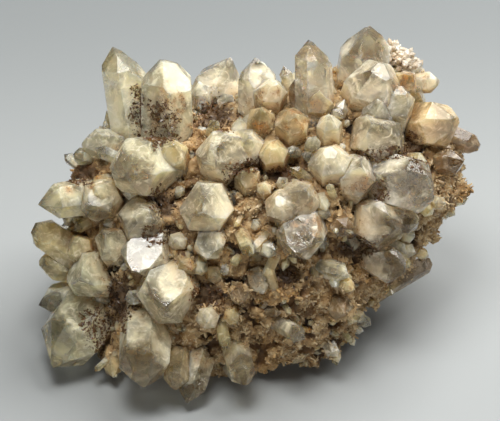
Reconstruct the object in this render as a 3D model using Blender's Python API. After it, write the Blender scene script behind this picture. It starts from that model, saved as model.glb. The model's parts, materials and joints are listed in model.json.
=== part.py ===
"""Quartz cluster on a lump of iron-stained matrix rock (metres, +Z up).

The specimen is laid out the way it is looked at. Its crystals grow on a domed
face that leans back, so every crystal is placed on that face with three
measures: how far across, how far up, and how far out. The rock is cut flat
underneath, where the specimen rests.
"""
import math
import random
from collections import namedtuple

import bmesh
import bpy
from mathutils import Matrix, Vector, noise
from mathutils.bvhtree import BVHTree

MM = 0.001
GAP = 0.3 * MM  # space kept between two solids that touch
SEED = 7

# The leaning face: its centre, and how steeply its outward direction rises.
FACE_RISE = math.radians(38)
FACE_CENTRE = Vector((-0.1, -2.2, 43)) * MM

# Rock: half widths of the face every 15 degrees, counted from the right.
ROCK_OUTLINE = (66, 75, 71, 67, 55, 45, 41, 40, 41, 45, 54, 62,
                63, 67, 66, 69, 63, 58, 55, 55, 55, 52, 53, 55)
ROCK_FRONT = 34  # how far the rock domes out of the face, in mm
ROCK_BACK = 50  # how far it reaches behind the face
ROCK_DETAIL = 5  # icosphere subdivisions, of which the later thinning keeps a share
ROCK_SHARE = 0.3
LUMP_SIZE = 21  # broad lumps: spacing and height, in mm
LUMP_HEIGHT = 5.0
BREAK_SIZE = 9.5  # flat broken surfaces: spacing, and how steeply they tilt
BREAK_TILT = 0.75
TILT_STEP = 31.7  # takes the three parts of a tilt from separate noise
SKIN_DEPTH = 0.45 * MM  # how far the crystals' feet stay off the rock

# Hollows in the rock: place across and up the face, radius and depth, in mm.
PITS = (
    (11, -22, 6.5, 6.0),
    (21, -28, 4.5, 4.5),
    (28, -45, 4.0, 4.0),
    (14, -42, 4.5, 4.0),
    (-20, -44, 4.0, 4.0),
    (54, 27, 6.0, 4.0),
)

# Quartz: how its tip faces lean away from the crystal's length.
TIP_LEAN = math.radians(51.8)
SIDES = 6
TAPER = math.radians(1.6)
ROOT = 9 * MM  # how far a crystal runs on into the rock before it is trimmed
BEYOND = 200  # mm from the middle of the face, outside everything
FACE_WANDER = 0.05  # how much each tip face strays, in half widths
SIDE_SPREAD = (0.86, 1.08)  # nearest and farthest side, in half widths

# How far each of the six tip faces stands off the point, in half widths.
HABITS = {
    "even": (0.00, 0.10, 0.03, 0.08, 0.02, 0.10),
    "three": (0.00, 0.34, 0.02, 0.30, 0.04, 0.38),
    "chisel": (-0.22, 0.22, 0.30, -0.16, 0.26, 0.34),
    "slanted": (-0.42, 0.20, 0.34, 0.42, 0.30, 0.16),
    "blunt": (0.00, 0.12, 0.05, 0.14, 0.03, 0.10),
}
BLUNT_CUT = 0.34  # how much of a blunt tip is missing, in half widths
BLUNT_SWAY = 0.3  # how far the blunt end tilts

TONES = {
    "clear": ((0.74, 0.71, 0.62), 0.08),
    "milky": ((0.70, 0.64, 0.50), 0.22),
    "grey": ((0.50, 0.46, 0.37), 0.18),
    "stained": ((0.62, 0.47, 0.25), 0.30),
    "smoky": ((0.26, 0.19, 0.12), 0.15),
    "rock": ((0.48, 0.33, 0.19), 0.85),
}

# One row for each crystal. Rows of one node overlap and grew into one piece.
# tip: across and up the face, in mm. bearing: where it points on the face, in
# degrees from the right. toward: how far it rises out of the face. length is
# from the rock to the tip, and turn spins it around its own length.
Crystal = namedtuple("Crystal", "node tip bearing toward length width turn habit tone")
CRYSTALS = (
    Crystal("tall_pair", (-47.5, 58), 100, 14, 33, 15, 78, "slanted", "milky"),
    Crystal("tall_pair", (-31, 53), 91, 20, 27, 17, 30, "blunt", "milky"),
    Crystal("clear_top_left", (-9, 54.5), 68, 24, 20, 16.5, 24, "even", "clear"),
    Crystal("clear_top_left", (-20, 46), 102, 30, 12, 6.5, 0, "even", "clear"),
    Crystal("clear_top_middle", (0, 54), 90, 20, 18, 12, 24, "three", "clear"),
    Crystal("milky_top_middle", (6, 45), 80, 48, 11, 10, 10, "blunt", "milky"),
    Crystal("smoky_top_stub", (15, 47), 98, 22, 11, 7.5, 0, "blunt", "smoky"),
    Crystal("pointed_top", (19.5, 59.5), 92, 16, 24, 10.5, 70, "slanted", "clear"),
    Crystal("clear_top_right", (39.5, 65), 82, 24, 19, 18, 34, "three", "clear"),
    Crystal("milky_top_right", (42.5, 49), 72, 56, 16, 18, 5, "blunt", "milky"),
    Crystal("rusty_top_right", (54.5, 48), 44, 44, 13, 9.5, 0, "three", "stained"),
    Crystal("edge_point_right", (64, 46), 2, 18, 12, 6.5, 12, "blunt", "clear"),
    Crystal("rounded_upper_right", (49.5, 42), 74, 52, 13, 12, 20, "blunt", "milky"),
    Crystal("grey_upper_right", (39.5, 31), 110, 66, 15, 17, 12, "three", "grey"),
    Crystal("tan_block_right", (69, 31.5), 6, 42, 15, 16, 18, "blunt", "stained"),
    Crystal("smoky_stub_right", (78, 23), -24, 12, 13, 7.5, 30, "blunt", "smoky"),
    Crystal("dark_edge_right", (72, 18), 6, 42, 10, 8, 0, "even", "smoky"),
    Crystal("clear_big_right", (61, 8), -14, 42, 20, 17.5, 26, "chisel", "clear"),
    Crystal("shadowed_pair_right", (48, -5.5), -22, 60, 15, 17, 16, "three", "grey"),
    Crystal("shadowed_pair_right", (56, -3.5), -12, 52, 10, 7, 0, "even", "grey"),
    Crystal("grey_lower_right", (50, -20), -28, 46, 13, 12.5, 22, "slanted", "grey"),
    Crystal("upright_milky", (25, 34), 92, 46, 11, 7.5, 12, "even", "milky"),
    Crystal("clouded_right_middle", (25, 21), 96, 56, 12, 13, 6, "blunt", "milky"),
    Crystal("rusty_foot_middle", (36, 16), 60, 66, 13, 14.5, 18, "three", "milky"),
    Crystal("grey_upper_middle", (42, 39), 88, 58, 12, 11, 26, "even", "grey"),
    Crystal("stained_row_right", (22, 42), 82, 50, 11, 10, 4, "three", "stained"),
    Crystal("stained_row_middle", (12, 34), 94, 58, 11, 10.5, 14, "blunt", "stained"),
    Crystal("stained_row_left", (2, 36), 86, 54, 11, 9.5, 22, "even", "stained"),
    Crystal("tan_middle", (6, 23), 96, 62, 10, 9.5, 0, "blunt", "stained"),
    Crystal("milky_pair", (-16, 19), 186, 64, 15, 17, 10, "blunt", "milky"),
    Crystal("milky_pair", (-2, 26), 70, 68, 14, 12.5, 24, "even", "milky"),
    Crystal("facing_centre", (-18.5, 1), 200, 80, 15, 16, 6, "three", "milky"),
    Crystal("brown_wedge", (-3, 15), 92, 52, 9, 8, 14, "chisel", "stained"),
    Crystal("grey_pair", (8, 4), 120, 70, 11, 11, 8, "blunt", "grey"),
    Crystal("grey_pair", (17, 8), 60, 66, 12, 13, 20, "even", "grey"),
    Crystal("pointed_centre", (14, -11), 250, 66, 16, 15, 14, "slanted", "clear"),
    Crystal("striated_centre", (-17, -14), 252, 56, 12, 10, 30, "slanted", "clear"),
    Crystal("rounded_left", (-60, 24), 176, 24, 14, 9.5, 6, "blunt", "clear"),
    Crystal("big_milky_left", (-47, 15), 184, 54, 18, 18, 18, "blunt", "milky"),
    Crystal("tan_shoulder_left", (-30, 24), 98, 56, 13, 10.5, 10, "blunt", "stained"),
    Crystal("twin_left", (-55, 9), 128, 62, 12, 11, 14, "even", "grey"),
    Crystal("twin_left", (-58, 3), 200, 64, 13, 12, 26, "three", "grey"),
    Crystal("point_upper_left", (-75.5, 3), 189, 22, 19, 11, 10, "even", "milky"),
    Crystal("yellow_pair_left", (-77.5, -5), 146, 20, 19, 10.5, 28, "chisel", "stained"),
    Crystal("yellow_pair_left", (-63, -8), 118, 44, 12, 9, 4, "three", "stained"),
    Crystal("hexagon_left", (-38, -1), 60, 76, 13, 15, 22, "blunt", "grey"),
    Crystal("sheltered_left", (-52, -7), 130, 58, 11, 12.5, 12, "three", "grey"),
    Crystal("bright_facet_left", (-41, -18), 236, 56, 16, 15.5, 20, "slanted", "clear"),
    Crystal("cloudy_lower_left", (-61, -23), 204, 66, 15, 17, 6, "three", "milky"),
    Crystal("greenish_left", (-75, -17), 172, 28, 14, 10, 16, "blunt", "stained"),
    Crystal("clear_edge_left", (-76, -32), 194, 22, 14, 10, 2, "even", "clear"),
    Crystal("big_point_lower_left", (-70.5, -53.5), 236, 32, 29, 19, 24, "even", "milky"),
    Crystal("facing_lower_left", (-31, -32), 262, 70, 17, 19, 10, "three", "milky"),
    Crystal("blunt_lower_left", (-39, -58.5), 267, 38, 24, 16, 14, "blunt", "milky"),
    Crystal("foot_stub", (-28, -60.5), 262, 34, 14, 8, 8, "blunt", "stained"),
    Crystal("foot_point", (-24, -66), 254, 20, 17, 8.5, 20, "even", "grey"),
    Crystal("bottom_point", (-3.5, -59.5), 286, 38, 16, 8.5, 26, "three", "milky"),
    Crystal("flashing_lower", (2, -27), 286, 44, 9, 7, 12, "slanted", "clear"),
    Crystal("dark_blade_right", (62, -17), 28, -18, 20, 6, 10, "chisel", "smoky"),
    Crystal("back_ridge_tall", (16, 52), 96, -40, 20, 13, 6, "even", "milky"),
    Crystal("back_ridge_left", (-30, 46), 118, -36, 18, 12, 18, "three", "grey"),
    Crystal("back_ridge_right", (52, 50), 56, -34, 17, 12, 12, "blunt", "milky"),
    Crystal("back_middle", (6, 34), 94, -64, 15, 13, 24, "three", "clear"),
    Crystal("back_left", (-52, 14), 168, -50, 17, 12, 2, "even", "milky"),
    Crystal("back_right", (62, 14), 14, -50, 16, 11, 20, "three", "grey"),
    Crystal("matrix", (49, 58), 62, 22, 7, 4.5, 0, "even", "clear"),
    Crystal("matrix", (53, 56), 54, 12, 7, 4.5, 20, "three", "clear"),
    Crystal("matrix", (58, 52), 36, 8, 7, 4.5, 10, "even", "clear"),
    Crystal("matrix", (30, -6), -70, 62, 9, 8, 8, "even", "smoky"),
    Crystal("matrix", (-2, -13), 228, 34, 11, 4.5, 20, "blunt", "stained"),
    Crystal("matrix", (4, -19), 108, 40, 10, 4, 0, "chisel", "stained"),
    Crystal("matrix", (34, -26), -24, 36, 10, 5, 6, "blunt", "stained"),
    Crystal("matrix", (-17, -37), 250, 74, 8, 8.5, 16, "blunt", "grey"),
    Crystal("matrix", (-6, -30), 262, 60, 8, 6.5, 12, "slanted", "smoky"),
    Crystal("matrix", (-9, -36.5), 240, 66, 7, 6, 4, "three", "stained"),
    Crystal("matrix", (-23, -20), 300, 62, 9, 7, 14, "three", "stained"),
    Crystal("matrix", (30, -34), 300, 68, 9, 9.5, 22, "slanted", "smoky"),
    Crystal("matrix", (65, 3), -20, 50, 7, 5, 8, "even", "grey"),
    Crystal("matrix", (2.5, 9.5), 100, 64, 8, 5.5, 18, "even", "grey"),
    Crystal("matrix", (28, -51), 296, 14, 7, 5.5, 24, "three", "clear"),
    Crystal("matrix", (-61, -55), 262, 36, 9, 6, 10, "blunt", "stained"),
    Crystal("matrix", (-50, -56.5), 272, 40, 9, 6, 0, "three", "stained"),
)

# Small crystals scattered over the rock and fused to it.
SPROUTS = 26
SPROUT_WIDTH = (3.6, 6.5)  # narrowest and widest, in mm
SPROUT_LENGTH = (0.7, 1.2)  # shortest and longest, in widths
SPROUT_FAN = 0.6  # how strongly they fan out from the rock's middle
SPROUT_SWAY = 0.4  # how far each strays from that direction
SPROUT_FLOOR = 14 * MM  # none grow lower than this


def face_axes():
    """Across, up and out of the leaning face, as unit vectors."""
    across = Vector((1, 0, 0))
    up = Vector((0, math.sin(FACE_RISE), math.cos(FACE_RISE)))
    out = Vector((0, -math.cos(FACE_RISE), math.sin(FACE_RISE)))
    return across, up, out


ACROSS, UP, OUT = face_axes()


def on_face(across, up, out=0.0):
    """The point at these distances (in mm) from the middle of the face."""
    return FACE_CENTRE + (ACROSS * across + UP * up + OUT * out) * MM


def clear_scene():
    for item in list(bpy.data.objects):
        bpy.data.objects.remove(item, do_unlink=True)


def new_collection(name):
    collection = bpy.data.collections.new(name)
    bpy.context.scene.collection.children.link(collection)
    return collection


def make_material(tone):
    colour, roughness = TONES[tone]
    material = bpy.data.materials.new(tone)
    material.use_nodes = True
    shader = material.node_tree.nodes["Principled BSDF"]
    shader.inputs["Base Color"].default_value = (*colour, 1)
    shader.inputs["Roughness"].default_value = roughness
    return material


def to_object(bm, name, collection):
    """Turn a bmesh into an object whose origin is the world's origin."""
    bm.normal_update()
    bmesh.ops.recalc_face_normals(bm, faces=bm.faces)
    if bm.calc_volume(signed=True) < 0:
        bmesh.ops.reverse_faces(bm, faces=bm.faces)
    mesh = bpy.data.meshes.new(name)
    bm.to_mesh(mesh)
    bm.free()
    result = bpy.data.objects.new(name, mesh)
    collection.objects.link(result)
    return result


def freeze(target):
    """Give the object the mesh that its modifiers make."""
    bpy.context.view_layer.update()
    evaluated = target.evaluated_get(bpy.context.evaluated_depsgraph_get())
    mesh = bpy.data.meshes.new_from_object(evaluated)
    target.modifiers.clear()
    old = target.data
    target.data = mesh
    bpy.data.meshes.remove(old)


def apply_booleans(target, cutters, operation):
    """Cut or join every cutter into the target, and keep the outcome."""
    for cutter in cutters:
        modifier = target.modifiers.new(cutter.name, "BOOLEAN")
        modifier.operation = operation
        modifier.solver = "EXACT"
        modifier.object = cutter
    freeze(target)


def keep_largest_body(target):
    """Drop the crumbs that a cut may leave beside the main body."""
    bm = bmesh.new()
    bm.from_mesh(target.data)
    bodies = []
    waiting = set(bm.faces)
    while waiting:
        body = set()
        front = [waiting.pop()]
        while front:
            face = front.pop()
            body.add(face)
            for edge in face.edges:
                for neighbour in edge.link_faces:
                    if neighbour in waiting:
                        waiting.discard(neighbour)
                        front.append(neighbour)
        bodies.append(body)
    bodies.sort(key=lambda body: sum(face.calc_area() for face in body))
    crumbs = [face for body in bodies[:-1] for face in body]
    bmesh.ops.delete(bm, geom=crumbs, context="FACES")
    bm.to_mesh(target.data)
    bm.free()


def outline_radius(angle):
    """Half width of the rock in this direction, on a smooth closed curve."""
    count = len(ROCK_OUTLINE)
    place = angle / math.tau * count
    start = math.floor(place)
    part = place - start
    before, left, right, after = (ROCK_OUTLINE[(start + k) % count] for k in (-1, 0, 1, 2))
    slope_in = (right - before) / 2
    slope_out = (after - left) / 2
    square = part * part
    cube = square * part
    return (
        (2 * cube - 3 * square + 1) * left
        + (cube - 2 * square + part) * slope_in
        + (3 * square - 2 * cube) * right
        + (cube - square) * slope_out
    )


def broken_height(place):
    """Height (mm) of the flat broken surface that this place belongs to."""
    distances, centres = noise.voronoi(place / BREAK_SIZE)
    centre = centres[0] * BREAK_SIZE
    tilt = Vector(noise.noise(centre + Vector((0, 0, TILT_STEP * k))) for k in range(3))
    return (place - centre).dot(tilt) * BREAK_TILT


def pit_depth(across, up):
    """How far a pit lowers the rock here, in mm."""
    depth = 0
    for pit_across, pit_up, radius, deepest in PITS:
        reach = math.hypot(across - pit_across, up - pit_up) / radius
        depth += deepest * max(0, 1 - reach * reach)
    return depth


def rock_point(direction):
    """Point of the rock's surface (across, up, out) seen in this direction."""
    angle = math.atan2(direction.y, direction.x)
    level = math.hypot(direction.x, direction.y)
    radius = outline_radius(angle)
    depth = ROCK_FRONT if direction.z > 0 else ROCK_BACK
    width = radius * level
    place = Vector((width * math.cos(angle), width * math.sin(angle), depth * direction.z))
    outward = place.normalized()
    height = noise.noise(place / LUMP_SIZE) * LUMP_HEIGHT + broken_height(place)
    place += outward * height
    if direction.z > 0:
        place -= outward * pit_depth(place.x, place.y)
    return place


def build_rock(collection):
    """The matrix lump: a domed stone with broken faces, cut flat below."""
    bm = bmesh.new()
    bmesh.ops.create_icosphere(bm, subdivisions=ROCK_DETAIL, radius=1)
    for vertex in bm.verts:
        vertex.co = on_face(*rock_point(vertex.co.normalized()))
    rock = to_object(bm, "matrix", collection)
    thin = rock.modifiers.new("thin", "DECIMATE")
    thin.ratio = ROCK_SHARE
    freeze(rock)
    bm = bmesh.new()
    bm.from_mesh(rock.data)
    cut_flat(bm, Vector((0, 0, 0)), Vector((0, 0, -1)))
    bm.to_mesh(rock.data)
    bm.free()
    return rock


def cut_flat(bm, point, outward):
    """Saw the body along a plane, drop what is outside and close the cut."""
    everything = bm.verts[:] + bm.edges[:] + bm.faces[:]
    cut = bmesh.ops.bisect_plane(
        bm, geom=everything, plane_co=point, plane_no=outward, clear_outer=True
    )
    rim = [item for item in cut["geom_cut"] if isinstance(item, bmesh.types.BMEdge)]
    if rim:
        bmesh.ops.edgeloop_fill(bm, edges=rim)


def axis_of(crystal):
    """The direction in which a crystal points."""
    bearing = math.radians(crystal.bearing)
    toward = math.radians(crystal.toward)
    flat = ACROSS * math.cos(bearing) + UP * math.sin(bearing)
    return flat * math.cos(toward) + OUT * math.sin(toward)


def find_tip(crystal, rock_tree):
    """Where the tip is, so that the crystal's foot sits on the rock."""
    toward = math.radians(crystal.toward)
    bearing = math.radians(crystal.bearing)
    reach = crystal.length * math.cos(toward)
    foot_across = crystal.tip[0] - reach * math.cos(bearing)
    foot_up = crystal.tip[1] - reach * math.sin(bearing)
    side = 1 if crystal.toward >= 0 else -1
    start = on_face(foot_across, foot_up, BEYOND * side)
    hit = rock_tree.ray_cast(start, OUT * -side)[0]
    if hit is None:
        hit = rock_tree.find_nearest(on_face(foot_across, foot_up))[0]
    foot_out = (hit - FACE_CENTRE).dot(OUT) / MM
    return on_face(*crystal.tip, foot_out + crystal.length * math.sin(toward))


def crystal_body(axis, tip, length, width, turn, habit, chance, grow=0.0):
    """One quartz crystal: six sides and six tip faces sawn from a block."""
    half = width * MM / 2
    size = (length * MM + ROOT + half) * 2
    bm = bmesh.new()
    bmesh.ops.create_cube(bm, size=size)
    offsets = [value + chance.uniform(-FACE_WANDER, FACE_WANDER) for value in HABITS[habit]]
    spreads = [half * chance.uniform(*SIDE_SPREAD) for side in range(SIDES)]
    foot = Vector((0, 0, -length * MM - ROOT - grow))
    cut_flat(bm, foot, Vector((0, 0, -1)))
    for side in range(SIDES):
        azimuth = math.tau * side / SIDES + math.radians(turn)
        across = Vector((math.cos(azimuth), math.sin(azimuth), 0))
        flank = across * math.cos(TAPER) + Vector((0, 0, math.sin(TAPER)))
        cut_flat(bm, across * spreads[side] + flank * grow, flank)
    for side in range(SIDES):
        azimuth = math.tau * side / SIDES + math.radians(turn)
        lean = Vector((math.cos(azimuth), math.sin(azimuth), 0)) * math.sin(TIP_LEAN)
        face = lean + Vector((0, 0, math.cos(TIP_LEAN)))
        cut_flat(bm, Vector((0, 0, offsets[side] * half)) + face * grow, face)
    if habit == "blunt":
        sway = [chance.uniform(-BLUNT_SWAY, BLUNT_SWAY) for axis_number in range(2)]
        top = Vector((*sway, 1)).normalized()
        cut_flat(bm, Vector((0, 0, -BLUNT_CUT * half)) + top * grow, top)
    highest = Vector((0, 0, max(vertex.co.z for vertex in bm.verts) - grow))
    side_on = (OUT - axis * OUT.dot(axis)).normalized()
    turned = Matrix((side_on, axis.cross(side_on), axis)).transposed()
    for vertex in bm.verts:
        vertex.co = tip + turned @ (vertex.co - highest)
    return bm


def crystal_solid(crystal, number, rock_tree, collection, grow=0.0):
    chance = random.Random(SEED * 1000 + number)
    bm = crystal_body(
        axis_of(crystal), find_tip(crystal, rock_tree), crystal.length, crystal.width,
        crystal.turn, crystal.habit, chance, grow,
    )
    return to_object(bm, f"{crystal.node}_{number}", collection)


def grown_copy(source, distance, name, collection):
    """A copy pushed outward, used to keep neighbours a little apart."""
    bm = bmesh.new()
    bm.from_mesh(source.data)
    bm.normal_update()
    shifts = [vertex.normal * distance for vertex in bm.verts]
    for vertex, shift in zip(bm.verts, shifts):
        vertex.co += shift
    return to_object(bm, name, collection)


def box_of(item):
    points = [vertex.co for vertex in item.data.vertices]
    low = [min(point[axis] for point in points) for axis in range(3)]
    high = [max(point[axis] for point in points) for axis in range(3)]
    return low, high


def boxes_meet(one, other):
    (low, high), (other_low, other_high) = box_of(one), box_of(other)
    return all(low[k] <= other_high[k] and other_low[k] <= high[k] for k in range(3))


def build_crystals(rock, parts, tools, materials):
    """Make the named crystals, trimmed by the rock and by those made before.

    Returns the guards, which are slightly larger copies of the crystals, and
    the listed crystals that belong to the rock.
    """
    rock_tree = BVHTree.FromObject(rock, bpy.context.evaluated_depsgraph_get())
    rock_guard = grown_copy(rock, SKIN_DEPTH, "rock_guard", tools)
    guards = []
    nodes = {}
    for number, crystal in enumerate(CRYSTALS):
        solid = crystal_solid(crystal, number, rock_tree, tools)
        guard = crystal_solid(crystal, number, rock_tree, tools, GAP)
        guard.name = f"guard_{number}"
        nodes.setdefault(crystal.node, []).append((solid, guard, crystal.tone))
    fused = nodes.pop("matrix")
    for name, members in nodes.items():
        main = members[0][0]
        apply_booleans(main, [solid for solid, guard, tone in members[1:]], "UNION")
        others = [guard for guard in guards if boxes_meet(main, guard)]
        apply_booleans(main, [*others, rock_guard], "DIFFERENCE")
        keep_largest_body(main)
        main.name = name
        main.data.name = name
        main.data.materials.clear()
        main.data.materials.append(materials[members[0][2]])
        tools.objects.unlink(main)
        parts.objects.link(main)
        guards += [guard for solid, guard, tone in members]
    for solid, own_guard, tone in fused:
        others = [guard for guard in guards if boxes_meet(solid, guard)]
        apply_booleans(solid, others, "DIFFERENCE")
        keep_largest_body(solid)
    return guards, [solid for solid, guard, tone in fused]


def fuse_small_crystals(rock, guards, sprouts, tools):
    """Scatter small crystals clear of the named ones, and join all to the rock."""
    chance = random.Random(SEED)
    tree = BVHTree.FromObject(rock, bpy.context.evaluated_depsgraph_get())
    goal = len(sprouts) + SPROUTS
    while len(sprouts) < goal:
        direction = Vector(chance.gauss(0, 1) for axis in range(3)).normalized()
        start = FACE_CENTRE + direction * BEYOND * MM
        hit, normal = tree.ray_cast(start, -direction)[:2]
        if hit is None or hit.z < SPROUT_FLOOR:
            continue
        width = chance.uniform(*SPROUT_WIDTH)
        length = width * chance.uniform(*SPROUT_LENGTH)
        sway = Vector(chance.uniform(-SPROUT_SWAY, SPROUT_SWAY) for axis in range(3))
        pointing = (normal + direction * SPROUT_FAN + sway).normalized()
        tip = hit + pointing * length * MM
        habit = chance.choice(sorted(HABITS))
        turn = chance.uniform(0, 360 / SIDES)
        bm = crystal_body(pointing, tip, length, width, turn, habit, chance)
        sprout = to_object(bm, f"sprout_{len(sprouts)}", tools)
        if any(boxes_meet(sprout, other) for other in guards + sprouts):
            bpy.data.objects.remove(sprout)
        else:
            sprouts.append(sprout)
    apply_booleans(rock, sprouts, "UNION")
    keep_largest_body(rock)


def main():
    clear_scene()
    parts = new_collection("quartz_cluster")
    tools = new_collection("cutters")
    materials = {tone: make_material(tone) for tone in TONES}
    rock = build_rock(parts)
    rock.data.materials.append(materials["rock"])
    guards, rock_pieces = build_crystals(rock, parts, tools, materials)
    fuse_small_crystals(rock, guards, rock_pieces, tools)
    for item in list(tools.objects):
        bpy.data.objects.remove(item, do_unlink=True)


main()
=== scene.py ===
# %% [markdown]
# # A quartz cluster on its rock
#
# This lesson dresses a plain solid model of a mineral specimen. The solids say
# where everything is; the cells below give the crystals their glassy and cloudy
# insides, the rock its grain, and the gaps their crust of tiny crystals. All
# of it is worked out by rules, so the same script always gives the same piece.

# %% Load the solid model
import json
import math
import random
from collections import namedtuple

import bmesh
import bpy
import numpy as np
from mathutils import Matrix, Vector, noise
from mathutils.bvhtree import BVHTree
from mathutils.kdtree import KDTree


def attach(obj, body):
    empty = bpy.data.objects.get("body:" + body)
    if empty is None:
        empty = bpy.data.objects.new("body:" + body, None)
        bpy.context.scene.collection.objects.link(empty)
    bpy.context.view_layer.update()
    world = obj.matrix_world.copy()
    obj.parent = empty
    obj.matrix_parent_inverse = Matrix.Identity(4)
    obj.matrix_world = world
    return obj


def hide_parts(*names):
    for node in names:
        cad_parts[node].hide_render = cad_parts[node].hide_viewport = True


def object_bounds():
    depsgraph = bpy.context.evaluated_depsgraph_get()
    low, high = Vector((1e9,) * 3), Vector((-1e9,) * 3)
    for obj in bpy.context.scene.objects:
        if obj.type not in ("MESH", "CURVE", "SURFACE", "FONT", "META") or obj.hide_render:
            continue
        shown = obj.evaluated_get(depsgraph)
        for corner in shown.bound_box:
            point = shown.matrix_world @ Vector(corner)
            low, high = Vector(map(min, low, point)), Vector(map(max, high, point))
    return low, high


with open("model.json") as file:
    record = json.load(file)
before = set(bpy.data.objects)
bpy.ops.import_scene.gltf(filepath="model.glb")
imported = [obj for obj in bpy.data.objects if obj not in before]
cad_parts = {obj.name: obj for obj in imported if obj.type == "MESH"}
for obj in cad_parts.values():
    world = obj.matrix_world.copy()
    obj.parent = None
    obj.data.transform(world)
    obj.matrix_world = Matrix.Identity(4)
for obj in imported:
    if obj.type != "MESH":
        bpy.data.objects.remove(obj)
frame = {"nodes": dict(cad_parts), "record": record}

cad_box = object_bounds()
MM = 0.001
SLOTS = {part["node"]: part["material_slot"] for part in frame["record"]["subparts"]}
print("nodes:", len(SLOTS))

# %% [markdown]
# ## The leaning face
#
# The crystals grow on a domed face that leans back by 38 degrees. A patch of dark crust could be
# placed by its x, y and z, but that is hard to read off. Two directions in the face, and one
# straight out of it, make it easy: so many millimetres across and so many up from the middle.

# %% Directions of the face
FACE_RISE = math.radians(38)
FACE_CENTRE = Vector((-0.1, -2.2, 43)) * MM
ACROSS = Vector((1, 0, 0))
UP = Vector((0, math.sin(FACE_RISE), math.cos(FACE_RISE)))
OUT = Vector((0, -math.cos(FACE_RISE), math.sin(FACE_RISE)))


def on_face(across, up, out=0.0):
    """The point at these distances, in mm, from the middle of the face."""
    return FACE_CENTRE + (ACROSS * across + UP * up + OUT * out) * MM


print("middle of the face in mm:", [round(value / MM, 1) for value in FACE_CENTRE])

# %% [markdown]
# ## Camera
#
# A small object photographed with a long lens shows almost no perspective. A
# flat, orthographic camera would show none at all. A long lens two metres off,
# straight in front of the leaning face, keeps the little that there is.

# %% Place the camera
DISTANCE = 2.0
VIEW_CENTRE = (-2.1, 0.9)
LENS = 411.4
SENSOR = 36
camera_data = bpy.data.cameras.new("camera")
camera_data.lens = LENS
camera_data.sensor_width = SENSOR
camera_data.clip_start = 0.05
camera = bpy.data.objects.new("camera", camera_data)
camera.location = on_face(*VIEW_CENTRE) + OUT * DISTANCE
camera.rotation_euler = OUT.to_track_quat("Z", "Y").to_euler()
bpy.context.scene.collection.objects.link(camera)
bpy.context.scene.camera = camera
print("camera at", [round(value, 3) for value in camera.location])

# %% [markdown]
# ## Writing shader maths as plain expressions
#
# A material is a graph of nodes. They could be added and linked one by one, but
# then a plain sum takes a page. Wrapping a node's output in a small class lets
# Python's own + - * stand for Math nodes, so a mask reads like the sum it is.

# %% A wire that can be added and multiplied


class Wire:
    """One output of a shader node."""

    def __init__(self, tree, socket=None):
        self.tree = tree
        self.socket = socket

    def node(self, kind, settings=None, inputs=None, output=0):
        """Add a node: its settings first, then its sockets' values or links."""
        made = self.tree.nodes.new("ShaderNode" + kind)
        for name, value in (settings or {}).items():
            if name == "stops":
                set_stops(made.color_ramp, value)
            else:
                setattr(made, name, value)
        for name, value in (inputs or {}).items():
            if isinstance(value, Wire):
                self.tree.links.new(value.socket, made.inputs[name])
            else:
                made.inputs[name].default_value = value
        return Wire(self.tree, made.outputs[output])

    def math(self, operation, first, second):
        return self.node("Math", {"operation": operation}, {0: first, 1: second})

    def __add__(self, other):
        return self.math("ADD", self, other)

    def __radd__(self, other):
        return self.math("ADD", other, self)

    def __sub__(self, other):
        return self.math("SUBTRACT", self, other)

    def __rsub__(self, other):
        return self.math("SUBTRACT", other, self)

    def __mul__(self, other):
        return self.math("MULTIPLY", self, other)

    def __rmul__(self, other):
        return self.math("MULTIPLY", other, self)

    def stretch(self, low, high, start=0.0, end=1.0):
        """Ease from start to end while this value goes from low to high."""
        return self.node(
            "MapRange", {"interpolation_type": "SMOOTHSTEP"},
            {"Value": self, "From Min": low, "From Max": high, "To Min": start, "To Max": end},
        )


print("reflected forms:", ", ".join(name for name in vars(Wire) if name.startswith("__r")))

# %% [markdown]
# ### Nodes that every finish uses
#
# Noise, scattered cells, a ramp of colours and a blend of two colours come back
# in every finish of the specimen. Each could be written out where it is used. A
# few short helpers keep the finishes readable, because what is left in them is
# only what differs.

# %% Noise, cells, ramps and blends


def set_stops(ramp, stops):
    """Give a colour ramp its stops: pairs of a place and a colour."""
    while len(ramp.elements) > len(stops):
        ramp.elements.remove(ramp.elements[-1])
    while len(ramp.elements) < len(stops):
        ramp.elements.new(1)
    for element, (place, colour) in zip(ramp.elements, stops):
        element.position = place
        element.color = (*colour, 1)


def noise_of(place, scale, detail=4.0, roughness=0.55, distortion=0.0):
    """Cloudy noise from 0 to 1."""
    return place.node("TexNoise", {}, {
        "Vector": place, "Scale": scale, "Detail": detail,
        "Roughness": roughness, "Distortion": distortion,
    })


def cells_of(place, scale):
    """Distance to the nearest of many scattered points."""
    return place.node("TexVoronoi", {"feature": "F1"}, {"Vector": place, "Scale": scale})


def blend_colours(factor, first, second):
    """Mix two colours, each a wire or three numbers."""
    first, second = (
        colour if isinstance(colour, Wire) else (*colour, 1) for colour in (first, second)
    )
    return factor.node(
        "Mix", {"data_type": "RGBA"}, {0: factor, 6: first, 7: second}, output=2
    )


def start_material(name):
    """An empty material, and a wire that carries its object coordinates."""
    material = bpy.data.materials.new(name)
    material.use_nodes = True
    material.node_tree.nodes.clear()
    blank = Wire(material.node_tree)
    return material, blank.node("TexCoord", output="Object")


def end_material(shader):
    """Send the finished shader to the material's surface."""
    out = shader.tree.nodes.new("ShaderNodeOutputMaterial")
    shader.tree.links.new(shader.socket, out.inputs["Surface"])


print("materials so far:", len(bpy.data.materials))

# %% [markdown]
# ## Quartz
#
# Real quartz is rarely one thing all through. Near its root it is clouded by
# countless tiny bubbles and stained by iron; towards the tip it clears. Thin
# healed cracks hang inside like veils. Bubbles and veils could be modelled or
# given as a volume, but both render slowly. Here a clear shader and a cloudy
# one are blended: a map of clouds, veils and height above the rock says which
# shows.

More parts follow.
